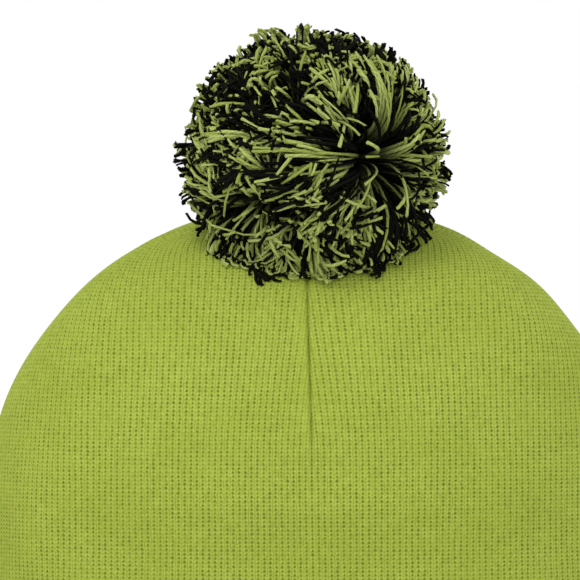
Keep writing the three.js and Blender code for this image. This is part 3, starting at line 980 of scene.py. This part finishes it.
def pom_heart():
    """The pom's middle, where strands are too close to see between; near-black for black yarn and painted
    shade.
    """
    rows, columns = 40, 60
    up = np.linspace(-math.pi / 2, math.pi / 2, rows)
    turn = np.linspace(0, 2 * math.pi, columns, endpoint=False)
    a, b = np.meshgrid(up, turn, indexing="ij")
    way = np.stack([np.cos(a) * np.cos(b), np.cos(a) * np.sin(b), np.sin(a)], -1)
    x, y, z = (way[..., i] for i in range(3))
    lumps = 1 + 0.04 * np.sin(9 * x + 2) + 0.04 * np.sin(11 * y) + 0.03 * np.sin(13 * z)
    points = POM_CENTRE + 3 * normal + way * (HEART_RADIUS * lumps)[..., None]
    ids = np.arange(rows * columns).reshape(rows, columns)
    ids = np.concatenate([ids, ids[:, :1]], 1)
    return mesh_object("pom_heart", points.reshape(-1, 3), grid_faces(ids))


heart = pom_heart()
finish_piece(heart, black_cord, "pom", ["pom_yarn_black"])


# ---- The care label ----

def label_material():
    """A pale woven tape, with the places on it in millimetres."""
    n = Nodes("LabelTape", 0.5, sheen=0.1)
    vector, u, v = n.uv()
    weave = n.times(n.maths("SINE", n.times(u, 14.0)), n.maths("SINE", n.times(v, 14.0)))
    stain = n.noise(vector, 0.3)
    n.colour(n.mix(stain, srgb(222, 221, 212), srgb(206, 205, 194)))
    n.bump(weave, 0.0001, 0.5)
    return n.material


def lining_back(x, z, half_width):
    """How far back the lining's inner side lies."""
    half_depth = HALF_DEPTH - HEM_TAPER * (1 - z / WIDEST_Z) - LINING_INSIDE
    return half_depth * np.sqrt(1 - (x / half_width) ** 2)


def label_piece():
    """A blank tape that hangs from its stitches and bows a little with the lining."""
    low, high = (np.array(corner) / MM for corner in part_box("care_label"))
    s, x = np.meshgrid(np.linspace(0, 1, 81), np.linspace(low[0], high[0], 49), indexing="ij")
    z = high[2] - s * (high[2] - low[2])
    half_width = HALF_WIDTH - HEM_TAPER * (1 - z / WIDEST_Z) - LINING_INSIDE
    y = lining_back(x, z, half_width) - 1.15
    y = y - 0.5 * np.sin(math.pi * s) * (1 + 0.4 * np.sin(0.25 * x)) - 0.25 * s * np.sin(0.3 * x + 1)
    front = np.stack([x, y - 0.15, z], -1)
    back = np.stack([x, y + 0.15, z], -1)
    # The pressed lines where its ends are turned in.
    front[..., 1] += 0.12 * (bell(s - 0.965, 0.004) + bell(s - 0.035, 0.004))
    ids = np.arange(s.size).reshape(s.shape)
    more = ids + s.size
    points = np.concatenate([front.reshape(-1, 3), back.reshape(-1, 3)])
    faces = [grid_faces(ids, flip=True)[0], grid_faces(more)[0]]
    edges = ((ids[0], more[0], False), (ids[-1], more[-1], True), (ids[:, 0], more[:, 0], True),
             (ids[:, -1], more[:, -1], False))
    for a, b, flip in edges:
        faces.append(grid_faces(np.stack([a, b]), flip=flip)[0])
    uv = np.tile(np.stack([x, z], -1).reshape(-1, 2), (2, 1))
    return mesh_object("label_tape", points, faces, uv)


def label_stitch_row():
    """Stitches along the label's top edge, each bowed out over the tape."""
    low, high = (np.array(corner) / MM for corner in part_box("care_label_stitches"))
    z = 0.5 * (low[2] + high[2])
    t = np.linspace(0, 1, 9)
    lines = []
    for x in np.arange(low[0] + 1.2, high[0] - 0.8, 2.4):
        across = x + 1.9 * (t - 0.5)
        y = lining_back(across, z, 97) - 0.9 - 0.35 * np.sin(math.pi * t)
        lines.append(np.stack([across, y, np.full(len(t), z)], -1))
    lines = np.stack(lines)
    return tubes("label_stitches", lines, np.full(lines.shape[:2], 0.3), 8)


tape = finish_piece(label_piece(), label_material(), "label", ["care_label"])
label_thread = cord_material("LabelThread", srgb(225, 224, 214), srgb(190, 189, 176))
finish_piece(label_stitch_row(), label_thread, "hat", ["care_label_stitches"])


# ---- The studio ----

def camera():
    """A long lens, straight on and level, as the photo was taken."""
    data = bpy.data.cameras.new("Camera")
    made = bpy.data.objects.new("Camera", data)
    bpy.context.scene.collection.objects.link(made)
    distance = 2.2
    frame_width = 0.1877
    aside = -0.0074
    below_top = 28.5
    data.sensor_width = 36
    data.lens = data.sensor_width * distance / frame_width
    made.location = (aside, -distance, (APEX_Z - below_top) * MM)
    made.rotation_euler = (math.pi / 2, 0, 0)
    bpy.context.scene.camera = made


def lamp(name, place, size, power, aim=(0, 0, 0.13)):
    """A round soft lamp. Its place, size and aim are in metres."""
    data = bpy.data.lights.new(name, "AREA")
    data.shape = "DISK"
    data.size = size
    data.energy = power
    made = bpy.data.objects.new(name, data)
    bpy.context.scene.collection.objects.link(made)
    made.location = place
    way = np.array(aim) - np.array(place)
    made.rotation_euler = Vector(way).to_track_quat("-Z", "Y").to_euler()


def floor():
    """The hem stands on the floor, so the floor keeps level with the cuff as it turns down."""
    reach = 1750
    below_hem = 0.4
    corners = [(-reach, -reach), (reach, -reach), (reach, reach), (-reach, reach)]
    points = [(x, y, -below_hem) for x, y in corners]
    made = mesh_object("Floor", points, [np.array([[0, 1, 2, 3]])])
    n = Nodes("PaleFloor", 0.9)
    n.colour((0.86, 0.86, 0.85, 1))
    n.shader.inputs["Emission Color"].default_value = WHITE
    n.shader.inputs["Emission Strength"].default_value = 0.1
    made.data.materials.append(n.material)
    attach(made, "cuff")


def studio():
    """A white room with soft light from above and a low lamp in front."""
    floor()
    world = bpy.data.worlds.new("Studio")
    world.use_nodes = True
    world.node_tree.nodes["Background"].inputs["Color"].default_value = WHITE
    world.node_tree.nodes["Background"].inputs["Strength"].default_value = 1.0
    bpy.context.scene.world = world
    lamp("Key", (-0.35, -0.9, 1.6), 0.7, 11)
    lamp("Fill", (-0.1, -1.6, 0.05), 1.2, 5.5, aim=(0, 0, 0.08))
    bpy.context.scene.view_settings.view_transform = "Standard"


camera()
studio()
